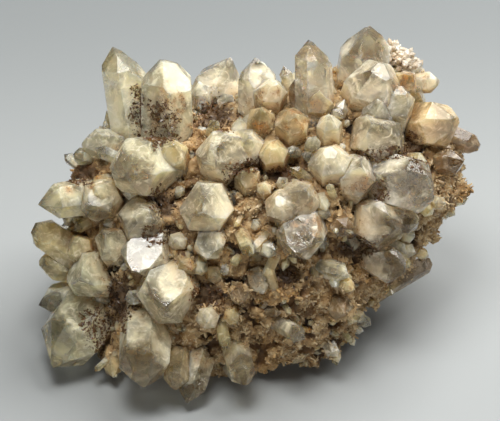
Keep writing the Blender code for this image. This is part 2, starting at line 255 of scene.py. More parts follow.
# %% The quartz finishes
# Each look is the glass's colour, the cloud's colour in a pale and in a deep
# crystal, and how much cloud, stain and surface haze there is.
Look = namedtuple("Look", "glass pale deep cloudiness stain haze")
LOOKS = {
    "clear_quartz": Look(
        (0.98, 0.95, 0.86), (0.88, 0.78, 0.61), (0.86, 0.80, 0.60), 0.42, 0.5, 0.02),
    "milky_quartz": Look(
        (0.97, 0.93, 0.80), (0.88, 0.77, 0.57), (0.85, 0.79, 0.55), 0.52, 0.6, 0.10),
    "grey_quartz": Look(
        (0.96, 0.92, 0.80), (0.82, 0.71, 0.53), (0.79, 0.72, 0.50), 0.46, 0.6, 0.05),
    "stained_quartz": Look(
        (0.95, 0.86, 0.60), (0.83, 0.64, 0.38), (0.81, 0.67, 0.37), 0.50, 1.0, 0.08),
    "smoky_quartz": Look(
        (0.58, 0.46, 0.34), (0.28, 0.20, 0.12), (0.22, 0.15, 0.08), 0.38, 0.5, 0.05),
}
RUST = (0.40, 0.19, 0.05)
TAN = (0.62, 0.45, 0.24)
# dark specks: real dirt, and in the dark patches partly painted shade
DIRT_AND_SHADE = (0.07, 0.035, 0.014)
# painted shade: the dark tint that crystals in the clearer patches turn towards
SHADE_TINT = (0.36, 0.31, 0.21)
VEIL = (0.94, 0.89, 0.78)
QUARTZ_IOR = 1.544
CLOUD_DEPTH = 7 * MM  # how far light wanders under a cloudy face
print("looks:", len(LOOKS))

# %% [markdown]
# ### Clouds, veils and stains
#
# The finish reads numbers that the crystal's mesh carries, such as the height
# above the rock. Cloudiness could be painted for each crystal. A sum of noises
# and of those numbers gives every crystal its own clouds from one recipe, and
# rust and dark specks follow the same foot and the same patches.

# %% The finish of every crystal
FOOT_TOP = 8.0  # mm above the rock where the stained foot of a crystal ends
GROOVES = (110, 2400, 0)  # growth lines: coarse along a facet, fine up it


def quartz_material(slot):
    """Clear and cloudy quartz in one finish, stained near the rock."""
    look = LOOKS[slot]
    material, place = start_material(slot)
    rise, tipward, facet, hue, dirt, rust, clearer = (
        place.node("Attribute", {"attribute_name": name}, output="Fac")
        for name in ("rise", "tipward", "facet", "hue", "dirt", "rust", "clearer")
    )
    strips = place.node("TexCoord", output="UV")

    clouds = noise_of(place, 95, 4, 0.55, 0.6).stretch(0.36, 0.66)
    wisps = noise_of(place, 300, 6, 0.68, 1.2).stretch(0.46, 0.74)
    foot = rise.stretch(0.3, FOOT_TOP, 1.0, 0.0)
    clear_tip = tipward.stretch(0.55, 0.95)
    cloudy = (clouds * 0.5 + wisps * 0.4 + foot * 0.2 + facet * 0.16
              - clear_tip * 0.55 - clearer * 0.25
              + (look.cloudiness - 0.32)).stretch(0.0, 1.0, 0.08, 0.94)

    # painted shade: in the clearer patches the body turns halfway to a dark tint; the same
    # patches also take cloud away
    body = blend_colours(clearer * 0.5, blend_colours(hue, look.pale, look.deep), SHADE_TINT)
    lit = blend_colours(wisps * 0.5, body, VEIL)
    zone = place.math("MAXIMUM", foot, rust)
    tanned = blend_colours((zone * clouds + foot * foot) * look.stain * 0.8, lit, TAN)
    rust_patch = noise_of(place, 150, 6, 0.75).stretch(0.46, 0.6)
    rusty = blend_colours(rust_patch * zone * (0.45 + look.stain * 0.5), tanned, RUST)
    spots = cells_of(place, 1500).stretch(0.25, 0.42, 1.0, 0.0)
    # in the dark patches these dark specks are partly painted shade
    spotted = (spots * (zone * rust_patch * 0.8 + dirt * 1.4)).stretch(0.2, 0.5)
    colour = blend_colours(spotted * 0.9, rusty, DIRT_AND_SHADE)

    grooves = strips.node("VectorMath", {"operation": "MULTIPLY"}, {0: strips, 1: GROOVES})
    height = noise_of(grooves, 1.0, 2) * 0.5 + noise_of(place, 800, 3) * 0.5 + spotted
    bump = place.node("Bump", {}, {"Height": height, "Strength": 0.3, "Distance": 0.12 * MM})
    rough = (noise_of(place, 170, 4).stretch(0.42, 0.72) * 0.22
             + (foot * 0.2 + spotted * 0.4) + (facet * 0.12 + look.haze))

    clear = place.node("BsdfPrincipled", {}, {
        "Base Color": (*look.glass, 1), "Roughness": rough * 0.5, "IOR": QUARTZ_IOR,
        "Transmission Weight": 1.0, "Normal": bump,
    })
    cloud = place.node("BsdfPrincipled", {}, {
        "Base Color": colour, "Roughness": rough, "IOR": QUARTZ_IOR,
        "Subsurface Weight": 1.0, "Subsurface Radius": (1.0, 0.9, 0.65),
        "Subsurface Scale": CLOUD_DEPTH, "Normal": bump,
    })
    shown = place.math("MAXIMUM", cloudy, place.math("MAXIMUM", spotted, rust_patch * zone * 0.8))
    end_material(place.node("MixShader", {}, {0: shown, 1: clear, 2: cloud}))
    return material


quartz = {slot: quartz_material(slot) for slot in LOOKS}
print("quartz finishes:", ", ".join(quartz))

# %% [markdown]
# ## Crystals
#
# Each solid crystal arrives as loose triangles. New prisms could be built in
# its place, but the solids already stand where the real crystals stand. So they
# are merged, and dissolving the flat joints brings back the real facets. The
# helpers below copy a solid, store numbers on a mesh for its finish to read, and
# show the mesh in the solid's place.

# %% Helpers that finish a piece
FLAT = math.radians(1.5)
MERGE = 0.004 * MM
matrix_node = frame["nodes"]["matrix"]
rock_tree = BVHTree.FromObject(matrix_node, bpy.context.evaluated_depsgraph_get())


def merged_copy(node):
    """The node's shape with its loose triangles merged."""
    bm = bmesh.new()
    bm.from_mesh(frame["nodes"][node].data)
    bmesh.ops.remove_doubles(bm, verts=bm.verts, dist=MERGE)
    return bm


def note(mesh, name, values, domain="POINT"):
    """Store one number for every vertex or face, for the materials to read."""
    mesh.attributes.new(name, "FLOAT", domain).data.foreach_set("value", values)


def rise_of_points(mesh):
    """How many millimetres each vertex stands off the rock."""
    return np.array([rock_tree.find_nearest(vertex.co)[3] / MM for vertex in mesh.vertices])


def points_of(mesh):
    return np.array([vertex.co for vertex in mesh.vertices])


def place_piece(name, mesh, material, slot, *nodes):
    """Show a mesh as a piece of the specimen, in place of the given solids."""
    mesh.materials.append(material)
    piece = bpy.data.objects.new(name, mesh)
    bpy.context.scene.collection.objects.link(piece)
    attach(piece, "root")
    if nodes:
        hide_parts(*nodes)
    return piece


print("triangles of the rock's solid:", len(matrix_node.data.polygons))

# %% [markdown]
# ## Patches
#
# Some places on the face look different: dark brown patches, rust, bare rock,
# and edges that sparkle with clear crystals. They could be painted by hand on
# every piece. Noting them once, as ovals with a torn edge, lets every piece and
# every finish agree on where they are.

# %% Patches of the face
# Each patch is across, up, half width and half height in mm on the leaning face.
SPARKLING = ((52, 53, 10, 8), (60, 45, 6, 5), (-70, -35, 5, 6))
RUSTY = (
    (8, 34, 18, 11), (35, 9, 9, 5), (-31, 36, 9, 11), (54, 45, 9, 8), (-14, 36, 9, 7),
    (-60, 12, 9, 6), (20, -2, 9, 7), (-20, -22, 8, 8),
)
# Dark brown crust; in the gaps between crystals and over small pits these patches are also
# painted shade.
DARK_AND_SHADE = (
    (-32.2, 30.8, 5.5, 9), (-41.6, 35.3, 2.5, 8), (-14, 34.6, 7, 6), (-32.2, 3.8, 5.5, 5),
    (-35, -8, 5.5, 3.5), (-55.6, -40.6, 5, 8), (-46.5, -29.4, 5, 9.6), (55.5, 21, 4, 7),
    (-16, -27.6, 5.5, 5), (-8, 13.5, 4, 3), (-2, 16.5, 4, 3), (11, -21, 6, 5),
    (10, 13, 9, 3), (-61, 14, 6, 5), (14, -42, 3, 3), (27.6, -44.8, 2.2, 1.5),
    (33, -12, 8, 4), (43.5, 8, 2.5, 4), (45, 20.5, 9, 2.5),
)
# Crystals in these patches get less cloud and, as painted shade, a darker body.
CLEARER_AND_SHADED = (
    (-39, -52, 9, 13), (-64, -58, 9, 9), (50, -9, 10, 10), (14, -8, 9, 10),
    (52, -19, 9, 9), (-24, -60, 10, 10), (-3, -55, 8, 9), (-52, -4, 8, 8),
)
BARE = (
    (4.9, -36.7, 29, 21), (64.4, -2.5, 13, 30), (43.4, -24, 16, 12),
    (-4.9, -3.2, 6.5, 13), (-61, 14.3, 7, 6),
)
print("patches:", len(RUSTY), "rusty,", len(DARK_AND_SHADE), "dark,", len(CLEARER_AND_SHADED), "clearer")

# %% [markdown]
# ### Inside or outside a patch
#
# A real patch fades and breaks up at its edge. A plain test of distance would
# draw a clean oval. So each point gets a number that falls from 1 in a patch's
# middle to 0 at its edge, and noise tears it.

# %% How deep a point lies in a patch
RAG = 4 * MM  # size of the tears in a patch's edge
PATCH_DEPTH = -12  # mm; nothing further behind the face belongs to a patch
NOWHERE = -9.0


def face_places(points):
    """Across, up and out of many points, in mm."""
    shifted = (points - np.array(FACE_CENTRE)) / MM
    return [shifted @ np.array(axis) for axis in (ACROSS, UP, OUT)]


def patchiness(points, patches):
    """How far inside the patches each point is: 1 in a middle, 0 at an edge."""
    across, up, out = face_places(points)
    best = np.full(len(points), NOWHERE)
    for middle, height, half, tall in patches:
        reach = ((across - middle) / half) ** 2 + ((up - height) / tall) ** 2
        best = np.maximum(best, 1 - reach)
    return np.where(out > PATCH_DEPTH, best, NOWHERE)


def ragged(points, patches, gain, base=0.0):
    """The same, from 0 to 1, with a torn edge."""
    torn = np.array([noise.fractal(Vector(point) / RAG, 0.8, 2.0, 3) for point in points])
    return np.clip(patchiness(points, patches) * gain + base + torn * 0.7, 0, 1)


middle = np.array([FACE_CENTRE])
print("the face's middle lies in bare rock by", patchiness(middle, BARE).round(2)[0])

# %% [markdown]
# ## Facets, edges and waves
#
# A grown crystal has flat facets with fine lines across them, edges that are
# never perfectly sharp, and faces that wave a little. The lines could be cut
# into the mesh, but they are finer than a hair, so each facet only remembers its
# longest edge and the finish draws them across it. The edges get a narrow bevel,
# and cutting the facets into small cells lets them wave.

# %% Dress every crystal
EDGE_ANGLE = math.radians(12)
EDGE_WIDTH = 0.18 * MM
SHORT_EDGE = 0.9 * MM  # shorter edges stay sharp
BURIED = 1.2 * MM  # and so do edges nearer the rock than this
CELL = 1.5 * MM
CUTS = 4
WAVE = 2.6 * MM
WAVE_HEIGHT = 0.07 * MM
TALL = 17  # mm; shorter crystals don't clear so much towards the tip


def rise_of(edge):
    """How far the middle of an edge stands off the rock."""
    middle = (edge.verts[0].co + edge.verts[1].co) / 2
    return rock_tree.find_nearest(middle)[3]


def drop_doubled_faces(bm):
    """Delete faces that share all their corners: a fin with nothing inside."""
    found = {}
    for face in bm.faces:
        found.setdefault(frozenset(face.verts), []).append(face)
    doubled = [face for faces in found.values() if len(faces) > 1 for face in faces]
    bmesh.ops.delete(bm, geom=doubled, context="FACES")


def dress_crystal(node, chance):
    """A crystal's mesh: its solid's facets, softened, with notes for the finish."""
    bm = merged_copy(node)
    bmesh.ops.dissolve_limit(bm, angle_limit=FLAT, verts=bm.verts, edges=bm.edges)
    strips = bm.loops.layers.uv.new("strips")
    facet = bm.faces.layers.float.new("facet")
    for face in bm.faces:
        longest = max(face.edges, key=lambda edge: edge.calc_length())
        along = (longest.verts[1].co - longest.verts[0].co).normalized()
        across = face.normal.cross(along)
        face[facet] = chance.random()
        for loop in face.loops:
            loop[strips].uv = (loop.vert.co.dot(across), loop.vert.co.dot(along))
    sharp = [edge for edge in bm.edges
             if edge.calc_length() > SHORT_EDGE
             and edge.calc_face_angle(0) > EDGE_ANGLE and rise_of(edge) > BURIED]
    bmesh.ops.bevel(bm, geom=sharp, offset=EDGE_WIDTH, offset_type="OFFSET", segments=2,
                    profile=0.5, affect="EDGES", clamp_overlap=True, material=-1)
    bmesh.ops.remove_doubles(bm, verts=bm.verts, dist=MERGE)
    bmesh.ops.dissolve_degenerate(bm, edges=bm.edges, dist=MERGE)
    bmesh.ops.triangulate(bm, faces=bm.faces)
    drop_doubled_faces(bm)
    for turn in range(CUTS):
        long = [edge for edge in bm.edges if edge.calc_length() > CELL]
        bmesh.ops.subdivide_edges(bm, edges=long, cuts=1)
        bmesh.ops.triangulate(bm, faces=bm.faces)
    drop_doubled_faces(bm)
    bm.normal_update()
    for vertex in bm.verts:
        vertex.co += vertex.normal * noise.noise(vertex.co / WAVE) * WAVE_HEIGHT
    mesh = bpy.data.meshes.new(node)
    bm.to_mesh(mesh)
    bm.free()
    if mesh.validate():
        print("mended:", node)
    mesh.shade_smooth()
    note_finish(mesh, chance)
    return mesh


def note_finish(mesh, chance):
    """Store what the quartz finish reads at every vertex of a crystal."""
    points = points_of(mesh)
    rise = rise_of_points(mesh)
    note(mesh, "rise", rise)
    note(mesh, "tipward", rise / max(rise.max(), TALL))
    # less cloud, and painted shade, in the clearer patches
    note(mesh, "clearer", ragged(points, CLEARER_AND_SHADED, 1.3))
    across = (points[:, 0].mean() - FACE_CENTRE.x) / MM
    warmth = min(max(0.45 - across / 130 + chance.uniform(-0.25, 0.25), 0), 1)
    note(mesh, "hue", np.full(len(points), warmth))
    # dark patches: dark crust, and painted shade between crystals and in pits
    note(mesh, "dirt", ragged(points, DARK_AND_SHADE, 1.3, 0.15))
    note(mesh, "rust", ragged(points, RUSTY, 1.5))


crystal_meshes = []
for number, (node, slot) in enumerate(sorted(SLOTS.items())):
    if node != "matrix":
        mesh = dress_crystal(node, random.Random(number))
        piece = place_piece(node + "_crystal", mesh, quartz[slot], slot, node)
        crisp = piece.modifiers.new("crisp_facets", "WEIGHTED_NORMAL")
        crisp.weight = 80
        crystal_meshes.append(mesh)
print("crystals:", len(crystal_meshes), "faces:", sum(len(m.polygons) for m in crystal_meshes))

# %% [markdown]
# ## The rock
#
# The matrix is a crumbly, iron-stained crust with small pits. It could be
# sculpted by hand, or given to a Displace modifier. Here a voxel remesh of the
# solid gives an even skin of small cells, and one sum of noises pushes them in
# and out, because then the same heights can also tell the finish which grains
# stand proud and which lie in a hollow.

# %% Shape the rock
VOXEL = 0.78 * MM
PIT_FROM = 0.2  # noise above this sinks into a pit
PIT_DEPTH = 2.4
LOWEST, HIGHEST = -2.2, 1.6  # mm, the heights that count as 0 and 1
source = merged_copy("matrix")
rock_mesh = bpy.data.meshes.new("rock")
source.to_mesh(rock_mesh)
source.free()
rough_rock = bpy.data.objects.new("rough_rock", rock_mesh)
bpy.context.scene.collection.objects.link(rough_rock)
remesh = rough_rock.modifiers.new("cells", "REMESH")
remesh.mode = "VOXEL"
remesh.voxel_size = VOXEL
bpy.context.view_layer.update()
rock_mesh = bpy.data.meshes.new_from_object(
    rough_rock.evaluated_get(bpy.context.evaluated_depsgraph_get())
)
bpy.data.objects.remove(rough_rock)


def grain(place):
    """Height of the rock's crust here, in mm: lumps, blocks and ridges, less the pits."""
    lumps = noise.fractal(place / (7 * MM), 0.9, 2.1, 3) * 0.9
    near, far = noise.voronoi(place / (4.4 * MM))[0][:2]
    blocks = (far - near) * 1.8
    knobs = noise.voronoi(place / (2.3 * MM))[0][0] * -0.9
    ridges = (1 - abs(noise.noise(place / (1.9 * MM))) * 2) * 0.5
    pit = min(max(noise.noise(place / (5.2 * MM)) - PIT_FROM, 0) * 7, 1) * PIT_DEPTH
    return lumps + blocks + knobs + ridges - pit - 0.3


bm = bmesh.new()
bm.from_mesh(rock_mesh)
bm.normal_update()
heights = np.array([grain(vertex.co) for vertex in bm.verts])
for vertex, height in zip(bm.verts, heights):
    vertex.co += vertex.normal * height * MM
    vertex.co.z = max(vertex.co.z, 0.0)
bm.to_mesh(rock_mesh)
bm.free()
rock_mesh.shade_smooth()
# these heights also paint shade into the colour of the hollows
heights = np.clip((heights - LOWEST) / (HIGHEST - LOWEST), 0, 1)
note(rock_mesh, "height", heights)
# dark patches on the rock: dark crust, and painted shade between crystals and in pits
note(rock_mesh, "dirt", ragged(points_of(rock_mesh), DARK_AND_SHADE, 1.4, 0.1))
height_tree = KDTree(len(heights))
for number, vertex in enumerate(rock_mesh.vertices):
    height_tree.insert(vertex.co, number)
height_tree.balance()
print("heights:", np.percentile(heights, (5, 25, 50, 75, 95)).round(2))
print("rock faces:", len(rock_mesh.polygons))

# %% [markdown]
# ## What the rock looks like
#
# Tan and orange iron oxides coat the grains. One noise alone would give clouds with no tie to the
# shape. So a ramp of browns follows the height of each grain, near black in the hollows and pale
# on the proud grains, as painted shade and painted light, and patches of rust, pale sand (kept to
# the proud grains, so partly painted light too) and dark dirt (partly painted shade) lie over it.

# %% The rock's finish
# painted shade and light: near black in the hollows, pale tan on the proud grains
ROCK_SHADE_STOPS = (
    (0.1, (0.02, 0.01, 0.005)), (0.38, (0.16, 0.088, 0.036)),
    (0.6, (0.44, 0.29, 0.13)), (0.88, (0.66, 0.51, 0.29)),
)
ROCK_RUST = (0.33, 0.165, 0.05)
ROCK_SAND = (0.70, 0.58, 0.38)
ROCK_BROWN = (0.13, 0.07, 0.03)
ROCK_DIRT_AND_SHADE = (0.05, 0.026, 0.012)


def rock_material():
    """Rough browns that follow the heights of the grains, dark in the hollows as painted shade.
    """
    material, place = start_material("matrix_rock")
    dirt, height = (
        place.node("Attribute", {"attribute_name": name}, output="Fac")
        for name in ("dirt", "height")
    )
    broad = noise_of(place, 55, 5, 0.6).stretch(0.38, 0.64)
    grains = noise_of(place, 800, 6, 0.8)
    specks = cells_of(place, 1400)
    level = height * 0.8 + grains * 0.7 - 0.25
    crust = level.node("ValToRGB", {"stops": ROCK_SHADE_STOPS}, {"Fac": level})
    rusty = blend_colours(broad * 0.4, crust, ROCK_RUST)
    light = noise_of(place, 240, 5, 0.7).stretch(0.54, 0.68)
    # pale sand only on proud grains: sand, and painted light on them
    pale = blend_colours(light * height * 0.8, rusty, ROCK_SAND)
    patch = noise_of(place, 170, 5, 0.7).stretch(0.52, 0.66)
    brown = blend_colours(patch * 0.6, pale, ROCK_BROWN)
    # dark crust, partly painted shade between crystals and in pits
    dark = blend_colours(dirt * 0.85, brown, ROCK_DIRT_AND_SHADE)
    bump = place.node("Bump", {}, {
        "Height": grains * 0.7 + specks * 0.5, "Strength": 0.9, "Distance": 0.3 * MM})
    shader = place.node("BsdfPrincipled", {}, {
        "Base Color": dark, "Roughness": grains.stretch(0.3, 0.7, 0.4, 0.9), "Normal": bump,
    })
    end_material(shader)
    return material


rock = place_piece("matrix_rock", rock_mesh, rock_material(), "matrix_rock", "matrix")
print("rock's piece:", rock.name)

# %% [markdown]
# ## Small crystals
#
# Between the big crystals the rock is covered by small ones, from a millimetre
# to some eight, and by splinters and grains of rock. They are too many to shape
# one by one. Particles or instances could scatter them, but those are lost when
# the model is exported. So a few simple shapes are copied over and over into
# joined meshes, turned and sized at random.

# %% Shapes of a small crystal
# Each is its body's length, its tip's length and how far the tip leans, where
# its width is 1.
SHAPES = (
    (0.5, 0.5, 0.0), (0.9, 0.6, 0.08), (1.3, 0.5, -0.1), (0.7, 0.35, 0.16), (1.8, 0.6, 0.05),
)
BROKEN_KINDS = 6  # how many splinters and how many grains are told apart


def small_shape(name, body, tip, shift):
    """A six-sided prism one unit wide, with its top drawn up to a point."""
    bm = bmesh.new()
    bmesh.ops.create_cone(bm, cap_ends=True, segments=6, radius1=0.48, radius2=0.5, depth=body)
    bmesh.ops.translate(bm, verts=bm.verts, vec=(0, 0, body / 2))
    top = max(bm.faces, key=lambda face: face.calc_center_median().z)
    point = bmesh.ops.poke(bm, faces=[top])["verts"]
    bmesh.ops.translate(bm, verts=point, vec=(shift, shift / 2, tip))
    mesh = bpy.data.meshes.new(name)
    bm.to_mesh(mesh)
    bm.free()
    return mesh


def splinter_shape(name, length, breadth, chance):
    """A broken splinter of rock: a bar with every corner knocked about."""
    bm = bmesh.new()
    bmesh.ops.create_cube(bm, size=1)
    bmesh.ops.scale(bm, verts=bm.verts, vec=(breadth, 0.35, length))
    for vertex in bm.verts:
        vertex.co += Vector(chance.uniform(-0.16, 0.16) for axis in range(3))
    bmesh.ops.translate(bm, verts=bm.verts, vec=(0, 0, length / 3))
    bmesh.ops.triangulate(bm, faces=bm.faces)
    mesh = bpy.data.meshes.new(name)
    bm.to_mesh(mesh)
    bm.free()
    return mesh


def grain_shape(name, chance):
    """The cheapest grain: four corners, each knocked about."""
    bm = bmesh.new()
    bmesh.ops.create_cone(bm, cap_ends=True, segments=3, radius1=0.6, radius2=0, depth=1)
    bmesh.ops.translate(bm, verts=bm.verts, vec=(0, 0, 0.45))
    for vertex in bm.verts:
        vertex.co += Vector(chance.uniform(-0.22, 0.22) for axis in range(3))
    mesh = bpy.data.meshes.new(name)
    bm.to_mesh(mesh)
    bm.free()
    return mesh


shapes = [small_shape(f"shape_{number}", *row) for number, row in enumerate(SHAPES)]
splinters = [
    splinter_shape(
        f"splinter_{number}", 1.0 + number * 0.3, 0.9 - number * 0.08, random.Random(number))
    for number in range(BROKEN_KINDS)
]
grains = [grain_shape(f"grain_{number}", random.Random(number)) for number in range(BROKEN_KINDS)]
print("faces of a small crystal:", len(shapes[0].polygons))

# %% [markdown]
# ### Sites
#
# A small crystal needs a place, a direction, a width and a turn: its site. Random
# places are drawn by area, so that they lie evenly on large and small faces, and
# a site is dropped if its crystal would reach out of the solid model's box. The
# bevel lists a crystal's faces in another order on every run, so they can be
# sorted by place first, which lets the same draws land on the same spots.

# %% Ways to scatter and join them
Site = namedtuple("Site", "place axis width spin shape")
SHAPE_TOP = 2.2  # how far a shape reaches along its own line, in widths
SHAPE_REACH = 0.85  # no shape's corner lies further than this from that line
low_corner, high_corner = (np.array(corner) for corner in cad_box)


def sorted_triangles(triangles, co):
    """The same triangles and corners, ordered by where they lie."""
    by_x = np.argsort(co[triangles][:, :, 0], axis=1)
    triangles = np.take_along_axis(triangles, by_x, axis=1)
    return triangles[np.argsort(co[triangles][:, :, 0].sum(axis=1))]


def scatter(meshes, count, seed, sort=False):
    """Random places on the meshes, evenly by area, with the way each faces."""
    rng = np.random.default_rng(seed)
    corners, normals = [], []
    for mesh in meshes:
        mesh.calc_loop_triangles()
        co = np.array([vertex.co for vertex in mesh.vertices])
        facing = np.array([vertex.normal for vertex in mesh.vertices])
        triangles = np.array([list(triangle.vertices) for triangle in mesh.loop_triangles])
        if sort:
            triangles = sorted_triangles(triangles, co)
        corners.append(co[triangles])
        normals.append(facing[triangles])
    corners, normals = np.concatenate(corners), np.concatenate(normals)
    sides = corners[:, 1:] - corners[:, :1]
    areas = np.linalg.norm(np.cross(sides[:, 0], sides[:, 1]), axis=1)
    chosen = rng.choice(len(areas), count, p=areas / areas.sum())
    shares = rng.dirichlet((1, 1, 1), count)[:, :, None]
    places = (corners[chosen] * shares).sum(axis=1)
    facing = (normals[chosen] * shares).sum(axis=1)
    return places, facing / np.linalg.norm(facing, axis=1, keepdims=True)


def keep_inside(site):
    """True if the whole small crystal stays inside the solid model's box."""
    tip = site.place + site.axis * site.width * SHAPE_TOP
    ends = np.array([tip, site.place])
    margin = site.width * SHAPE_REACH
    return (ends > low_corner + margin).all() and (ends < high_corner - margin).all()


print("the box in mm:", ((high_corner - low_corner) / MM).round(1))

# %% [markdown]
# ### One mesh from many sites
#
# Thousands of objects would be slow and hard to export. So the shapes of one kind are copied into
# a single mesh, and every face keeps a random tint and the height of the rock under it, for the
# finish to tell the grains apart and to darken those in hollows as painted shade.

# %% Join and lean the small shapes
SHORT_FOOT = 2.5  # a small crystal's stained foot is this many times shorter
CLEAR_FROM = 5  # mm above the rock; a small crystal's tip counts as clear here


def join_sites(name, sites, seed):
    """One mesh with a small crystal on every site."""
    bm = bmesh.new()
    counts = []
    for site in sites:
        shape = site.shape.copy()
        lean = site.axis.to_track_quat("Z", "Y").to_matrix().to_4x4()
        turn = lean @ Matrix.Rotation(site.spin, 4, "Z")
        size = Matrix.Scale(site.width, 4)
        shape.transform(Matrix.Translation(site.place) @ turn @ size)
        bm.from_mesh(shape)
        counts.append(len(shape.polygons))
        bpy.data.meshes.remove(shape)
    mesh = bpy.data.meshes.new(name)
    bm.to_mesh(mesh)
    bm.free()
    tints = np.repeat(np.random.default_rng(seed).random(len(sites)), counts)
    note(mesh, "facet", tints, "FACE")
    note(mesh, "hue", tints, "FACE")
    rise = rise_of_points(mesh)
    note(mesh, "rise", rise * SHORT_FOOT)
    note(mesh, "tipward", np.clip(rise / CLEAR_FROM, 0, 0.8))
    note(mesh, "rust", ragged(points_of(mesh), RUSTY, 1.5))
    # the rock's height under each site, which the crust finish turns into painted shade
    levels = [heights[height_tree.find(site.place)[1]] for site in sites]
    note(mesh, "height", np.repeat(levels, counts), "FACE")
    print(name, "crystals:", len(sites), "faces:", len(mesh.polygons))
    return mesh


def make_sites(places, facings, widths, spread, chance, sink=0.25, fan=0.0, kinds=shapes):
    """Stand a small shape on every place, leaning at random."""
    sites = []
    for place, facing in zip(places, facings):
        sway = Vector(chance.gauss(0, spread) for axis in range(3))
        outward = (Vector(place) - FACE_CENTRE).normalized() * fan
        axis = (Vector(facing) + sway + outward).normalized()
        width = chance.uniform(*widths) * chance.uniform(0.7, 1.0) * MM
        base = Vector(place) - axis * width * sink
        site = Site(base, axis, width, chance.uniform(0, math.tau), chance.choice(kinds))
        if keep_inside(site):
            sites.append(site)
    return sites


print("kinds of small shapes:", len(shapes) + len(splinters) + len(grains))

# %% [markdown]
# ### Room to stand
#
# A small crystal under a big one would never be seen. Comparing it with every
# face would be slow, so a search tree of the big crystals answers whether
# anything stands over a place.

# %% Where the big crystals are in the way
joined = bmesh.new()
for mesh in crystal_meshes:
    joined.from_mesh(mesh)
crystal_tree = BVHTree.FromBMesh(joined)
print("faces in the way:", len(joined.faces))
joined.free()


def is_open(place, axis, reach):
    """True if nothing big stands over this place, as far as reach."""
    return crystal_tree.ray_cast(Vector(place) + axis * 0.1 * MM, axis, reach)[0] is None


# %% [markdown]
# ### Crystals of middle size
#
# Some small crystals can be made out one by one, so they are listed. The list gives each tip's
# place on the face, and a line sent straight down from there finds the rock below it.

# %% Place the small crystals that can be made out
# Each is the tip's place across and up the face, bearing and rise in degrees,
# length and width in mm, the number of its shape, and its finish.
PLACED = (
    (49, 58, 62, 22, 7, 4.5, 1, "clear_quartz"),
    (53, 56, 54, 12, 7, 4.5, 1, "clear_quartz"),
    (58, 52, 36, 8, 7, 4.5, 1, "clear_quartz"),
    (30, -6, -70, 62, 9, 8, 3, "smoky_quartz"),
    (-2, -13, 228, 34, 11, 4.5, 4, "stained_quartz"),
    (4, -19, 108, 40, 10, 4, 4, "stained_quartz"),
    (34, -26, -24, 36, 10, 5, 2, "stained_quartz"),
    (-17, -37, 250, 74, 8, 8.5, 0, "grey_quartz"),
    (-6, -30, 262, 60, 8, 6.5, 3, "smoky_quartz"),
    (-9, -36.5, 240, 66, 7, 6, 3, "stained_quartz"),
    (-23, -20, 300, 62, 9, 7, 3, "stained_quartz"),
    (30, -34, 300, 68, 9, 9.5, 0, "smoky_quartz"),
    (65, 3, -20, 50, 7, 5, 1, "grey_quartz"),
    (2.5, 9.5, 100, 64, 8, 5.5, 1, "grey_quartz"),
    (28, -51, 296, 14, 7, 5.5, 3, "clear_quartz"),
    (-61, -55, 262, 36, 9, 6, 1, "stained_quartz"),
    (-50, -56.5, 272, 40, 9, 6, 1, "stained_quartz"),
)
BEYOND = 100  # mm in front of the face, outside everything
ROOTED = 0.7  # share of a crystal's length that lies below the place found


def placed_site(across, up, bearing, toward, length, width, kind):
    """The site of a crystal whose tip is seen at this place on the face."""
    bearing, toward = math.radians(bearing), math.radians(toward)
    flat = ACROSS * math.cos(bearing) + UP * math.sin(bearing)
    axis = flat * math.cos(toward) + OUT * math.sin(toward)
    start = on_face(across, up, BEYOND) - flat * math.cos(toward) * length * 0.2 * MM
    hit = rock_tree.ray_cast(start, -OUT)[0]
    if hit is None:
        hit = rock_tree.find_nearest(start - OUT * BEYOND * MM)[0]
    root = hit - axis * length * ROOTED * MM
    return Site(root, axis, width * MM, math.radians(across), shapes[kind])


print("placed by hand:", len(PLACED))

# %% [markdown]
# ### The other middle-sized crystals
#
# They fill the ground between the big ones, a few millimetres apart: crowded on
# the front, sparse behind, on bare rock and in the dark patches. Most of the
# random tries fail, because a big crystal or a neighbour is in the way.

# %% Scatter the middle-sized crystals
MEDIUM_TRIES = 2600
CROWD_FRONT, CROWD_BACK, CROWD_BARE, CROWD_DARK = 0.9, 0.35, 0.03, 0.1
FLOOR_GAP = 6 * MM  # no middle-sized crystal stands lower than this
BARE_FINISHES = ("stained_quartz", "smoky_quartz", "grey_quartz")
OTHER_FINISHES = (
    "clear_quartz", "milky_quartz", "milky_quartz", "grey_quartz", "stained_quartz",
)
chance = random.Random(5)
places, facings = scatter([rock_mesh], MEDIUM_TRIES, 11)
bare = patchiness(places, BARE)
dark = patchiness(places, DARK_AND_SHADE)
front = facings @ np.array(OUT)
medium = {slot: [] for slot in LOOKS}
taken = []
for across, up, bearing, toward, length, width, kind, slot in PLACED:
    site = placed_site(across, up, bearing, toward, length, width, kind)
    medium[slot].append(site)
    taken.append((np.array(site.place), site.width))
for place, facing, bareness, darkness, frontness in zip(places, facings, bare, dark, front):
    is_bare = bareness > 0.1
    crowd = CROWD_FRONT if frontness > 0 else CROWD_BACK
    if is_bare:
        crowd = CROWD_BARE
    if darkness > 0:
        crowd = CROWD_DARK
    if chance.random() > crowd or place[2] < FLOOR_GAP:
        continue
    made = make_sites([place], [facing], (3.2, 8.0), 0.45, chance, 0.3, 0.5)
    if not made:
        continue
    site = made[0]
    point = np.array(site.place)
    middle = site.place + site.axis * site.width
    if (not is_open(site.place, site.axis, site.width * 2.0)
            or any(np.linalg.norm(point - other) < (site.width + size) * 0.42
                   for other, size in taken)
            or crystal_tree.find_nearest(middle)[3] < site.width * 0.25):
        continue
    taken.append((point, site.width))
    slot = chance.choice(BARE_FINISHES if is_bare else OTHER_FINISHES)
    medium[slot].append(site)
for number, (slot, sites) in enumerate(medium.items()):
    if sites:
        name = "small_" + slot.replace("_quartz", "_crystals")
        place_piece(name, join_sites(name, sites, number), quartz[slot], slot)
